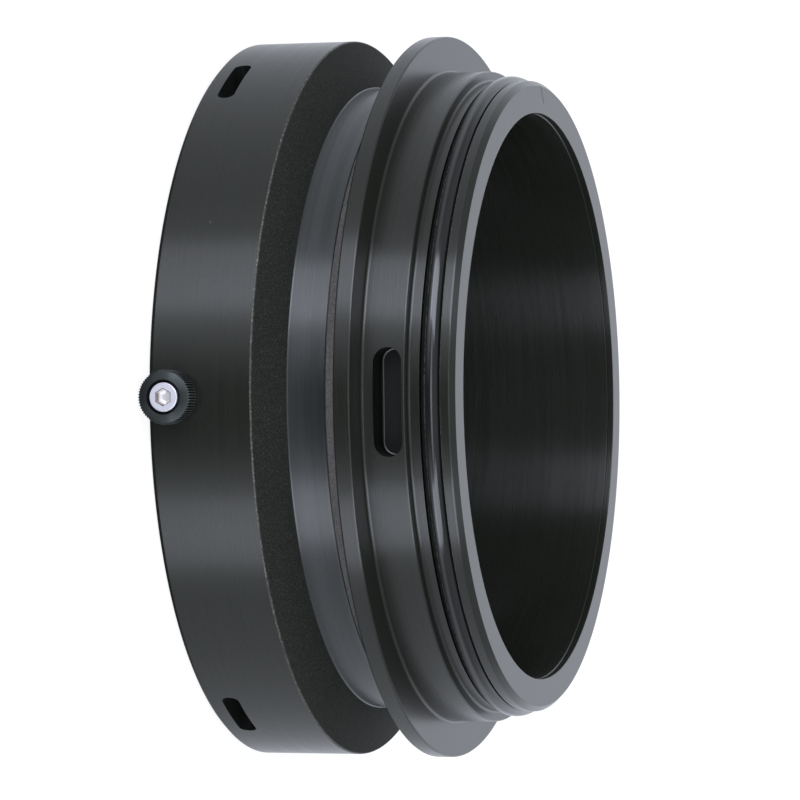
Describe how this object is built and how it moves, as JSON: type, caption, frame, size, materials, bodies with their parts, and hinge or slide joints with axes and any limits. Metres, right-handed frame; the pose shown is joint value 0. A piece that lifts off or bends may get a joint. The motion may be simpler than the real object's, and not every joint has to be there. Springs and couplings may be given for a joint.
{
  "type": "camera housing port extension",
  "caption": "Short black port extension ring for an underwater camera housing, with a sealed spigot at one end, a socket at the other and a knurled thumb screw.",
  "frame": {"origin": "centre of the socket's mouth, in the plane of the rim that the extension stands on", "axes": "+Z along the lens axis from the socket end to the sealed spigot; the thumb screw faces -Y"},
  "size_m": [0.1306, 0.1359, 0.052],
  "materials": {
    "black_plastic": "satin, finely turned",
    "seal_rubber": "glossy, greased",
    "black_anodised": "black anodised, turned and knurled",
    "stainless": "bright stainless",
    "washer_plastic": "matt"
  },
  "bodies": {
    "port": {"port_body": "black_plastic", "main_o_ring": "seal_rubber"},
    "washer": {"thumb_washer": "washer_plastic"},
    "thumb_screw": {"thumb_knob": "black_anodised", "cap_screw": "stainless"}
  },
  "joints": [
    {"name": "screw_travel", "type": "slide", "parent": "port", "child": "washer", "axis": [0, -1, 0], "range_m": [-0.00095, 0.00381]},
    {"name": "screw_turn", "type": "hinge", "parent": "washer", "child": "thumb_screw", "pos_m": [0, -0.06655, 0.00475], "axis": [0, -1, 0], "range_deg": [-540, 2160]}
  ],
  "couplings": [
    {"joint": "screw_turn", "follows": "screw_travel", "rad_per_m": 9894.8}
  ]
}
